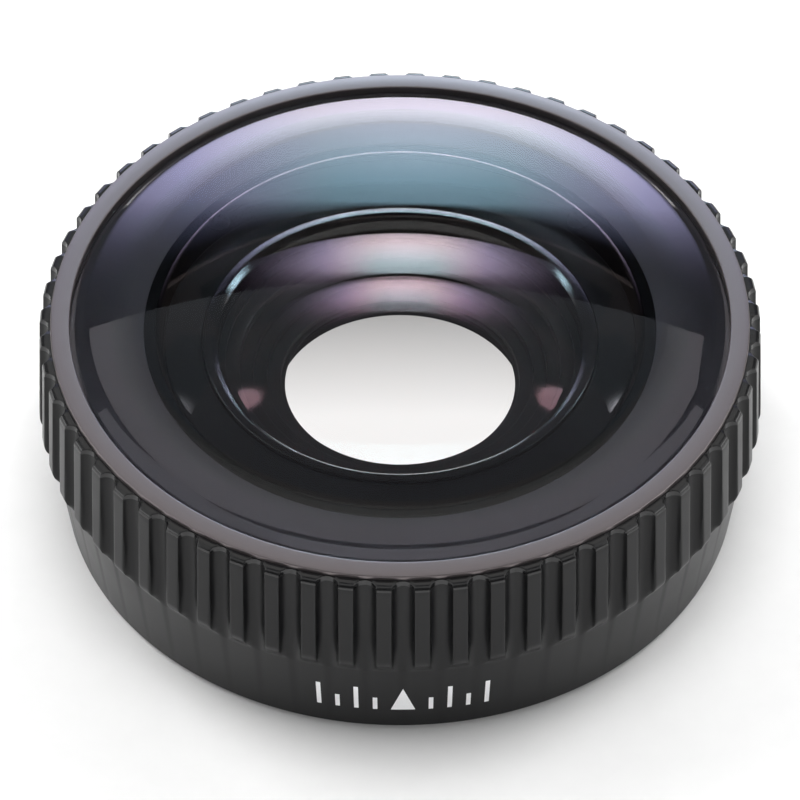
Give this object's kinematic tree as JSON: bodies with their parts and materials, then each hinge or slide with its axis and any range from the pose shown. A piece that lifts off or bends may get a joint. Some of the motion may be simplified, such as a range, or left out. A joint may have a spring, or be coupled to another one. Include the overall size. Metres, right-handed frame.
{
  "type": "action camera lens",
  "caption": "Wide-angle conversion lens for an action camera: domed front glass in a bezel, a fluted grip on a smooth tapered base, inner lens barrel and a rear bayonet socket.",
  "frame": {"origin": "centre of the rear rim's plane, on which the lens stands", "axes": "+Z along the optical axis, out of the front glass; -Y towards the marked side of the base"},
  "size_m": [0.044, 0.044, 0.0168],
  "materials": {
    "anodised_body": "black anodised, satin",
    "anodised_bezel": "dark grey anodised, satin, with a fine turned grain",
    "optical_glass": "polished, anti-reflection coated",
    "mask_film": "matte black",
    "seal_rubber": "matte black",
    "housing_plastic": "matte black moulded",
    "anodised_barrel": "black anodised, matte",
    "bayonet_metal": "fine turned stainless steel",
    "bright_steel": "plain stainless steel"
  },
  "bodies": {
    "root": {"grip_body": "anodised_body", "bezel_ring": "anodised_bezel", "front_lens": "optical_glass", "front_lens_mask": "mask_film", "front_lens_gasket": "seal_rubber", "inner_housing": "housing_plastic", "housing_seal": "seal_rubber", "lens_barrel": "anodised_barrel", "barrel_shim": "bright_steel", "barrel_screws": "bright_steel", "barrel_seal": "seal_rubber", "middle_lens": "optical_glass", "middle_lens_retainer": "anodised_barrel", "stepped_baffle": "housing_plastic", "aperture_mask": "mask_film", "rear_lens": "optical_glass", "rear_lens_retainer": "anodised_barrel", "bayonet_ring": "bayonet_metal", "bayonet_screws": "bright_steel", "mount_seal": "seal_rubber", "stop_pin": "bright_steel"}
  },
  "joints": []
}
